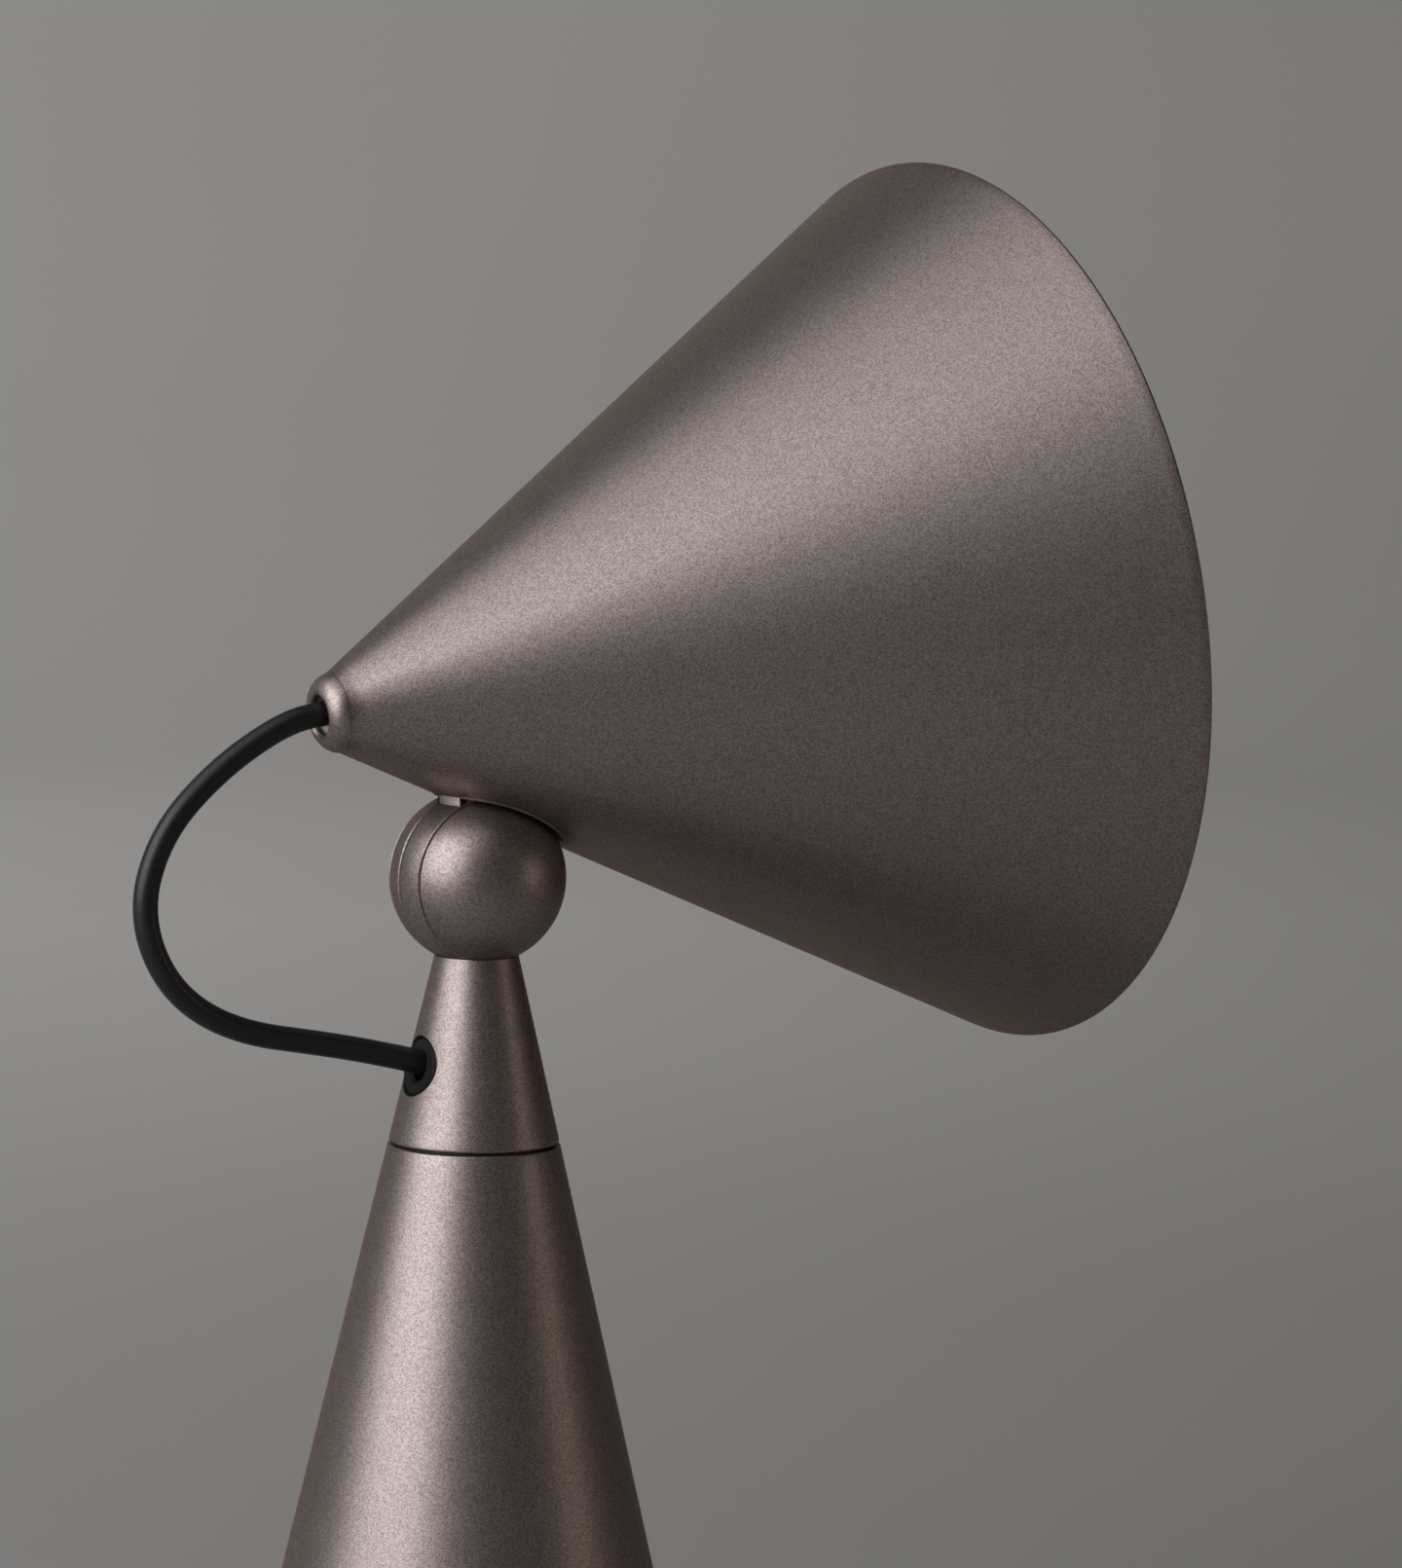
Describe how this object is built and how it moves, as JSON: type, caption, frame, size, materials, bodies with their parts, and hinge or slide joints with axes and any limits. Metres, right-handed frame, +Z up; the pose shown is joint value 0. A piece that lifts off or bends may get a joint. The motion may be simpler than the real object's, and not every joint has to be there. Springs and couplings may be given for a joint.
{
  "type": "desk lamp",
  "caption": "Conical desk lamp: weighted cone base, swivelling neck, conical shade tilting on a ball hinge, with a short cord looping from the shade's nose to the neck.",
  "frame": {"origin": "on the floor at the middle of the base", "axes": "+Z up along the stand; +X the way the shade points; +Y completes the right-handed frame, away from the hinge's near cap"},
  "size_m": [0.2342, 0.215, 0.4449],
  "materials": {
    "bronze_paint": "satin metallic",
    "white_enamel": "satin",
    "bright_steel": "turned",
    "zinc_steel": "zinc plated",
    "ballast_iron": "rough cast",
    "pad_rubber": "matt",
    "grommet_rubber": "matt",
    "cast_aluminium": "die cast",
    "black_nylon": "moulded",
    "cord_jacket": "satin extruded",
    "lead_insulation": "extruded",
    "terminal_plastic": "moulded",
    "holder_plastic": "moulded",
    "cap_nickel": "rolled",
    "bulb_plastic": "moulded",
    "bulb_opal": "opal"
  },
  "bodies": {
    "base": {"base_pad": "pad_rubber", "base_plate": "bright_steel", "base_weight": "ballast_iron", "base_screws": "zinc_steel", "base_cone": "bronze_paint", "tie_tube": "bright_steel", "tie_washer": "bright_steel", "tie_nut": "zinc_steel", "base_collar": "cast_aluminium", "swivel_plate": "bright_steel", "swivel_screws": "zinc_steel", "swivel_bush": "black_nylon", "seam_washer": "black_nylon", "cord_inlet": "black_nylon", "inlet_nut": "black_nylon", "terminal_block": "terminal_plastic", "terminal_screw": "zinc_steel", "base_lead": "lead_insulation"},
    "neck": {"neck_cone": "bronze_paint", "cord_grommet": "grommet_rubber", "swivel_stem": "bright_steel", "stop_pin": "zinc_steel", "neck_screws": "zinc_steel", "swivel_spring": "bright_steel", "swivel_nut": "zinc_steel", "hinge_knuckle": "bronze_paint", "far_cap": "bronze_paint", "far_cap_pins": "zinc_steel", "hinge_bolt": "bright_steel", "hinge_spring": "bright_steel", "hinge_nut": "zinc_steel", "friction_washer": "black_nylon", "neck_lead": "lead_insulation", "jumper_cord": "cord_jacket"},
    "shade": {"shade_shell": "bronze_paint", "hinge_bracket": "bronze_paint", "near_cap": "bronze_paint", "near_cap_pins": "zinc_steel", "bracket_studs": "zinc_steel", "bracket_nuts": "zinc_steel", "nose_boss": "cast_aluminium", "holder_nipple": "bright_steel", "nipple_nut": "zinc_steel", "holder_cap": "holder_plastic", "holder_body": "holder_plastic", "reflector_ring": "holder_plastic", "inner_reflector": "white_enamel", "bulb_screw_cap": "cap_nickel", "bulb_body": "bulb_plastic", "bulb_globe": "bulb_opal", "shade_lead": "lead_insulation"}
  },
  "joints": [
    {"name": "neck_swivel", "type": "hinge", "parent": "base", "child": "neck", "pos_m": [0, 0, 0.214], "axis": [0, 0, 1], "range_deg": [-165, 165]},
    {"name": "shade_tilt", "type": "hinge", "parent": "neck", "child": "shade", "pos_m": [0, 0, 0.2767], "axis": [0, 1, 0], "range_deg": [-35, 55], "deforming": ["jumper_cord"]}
  ]
}
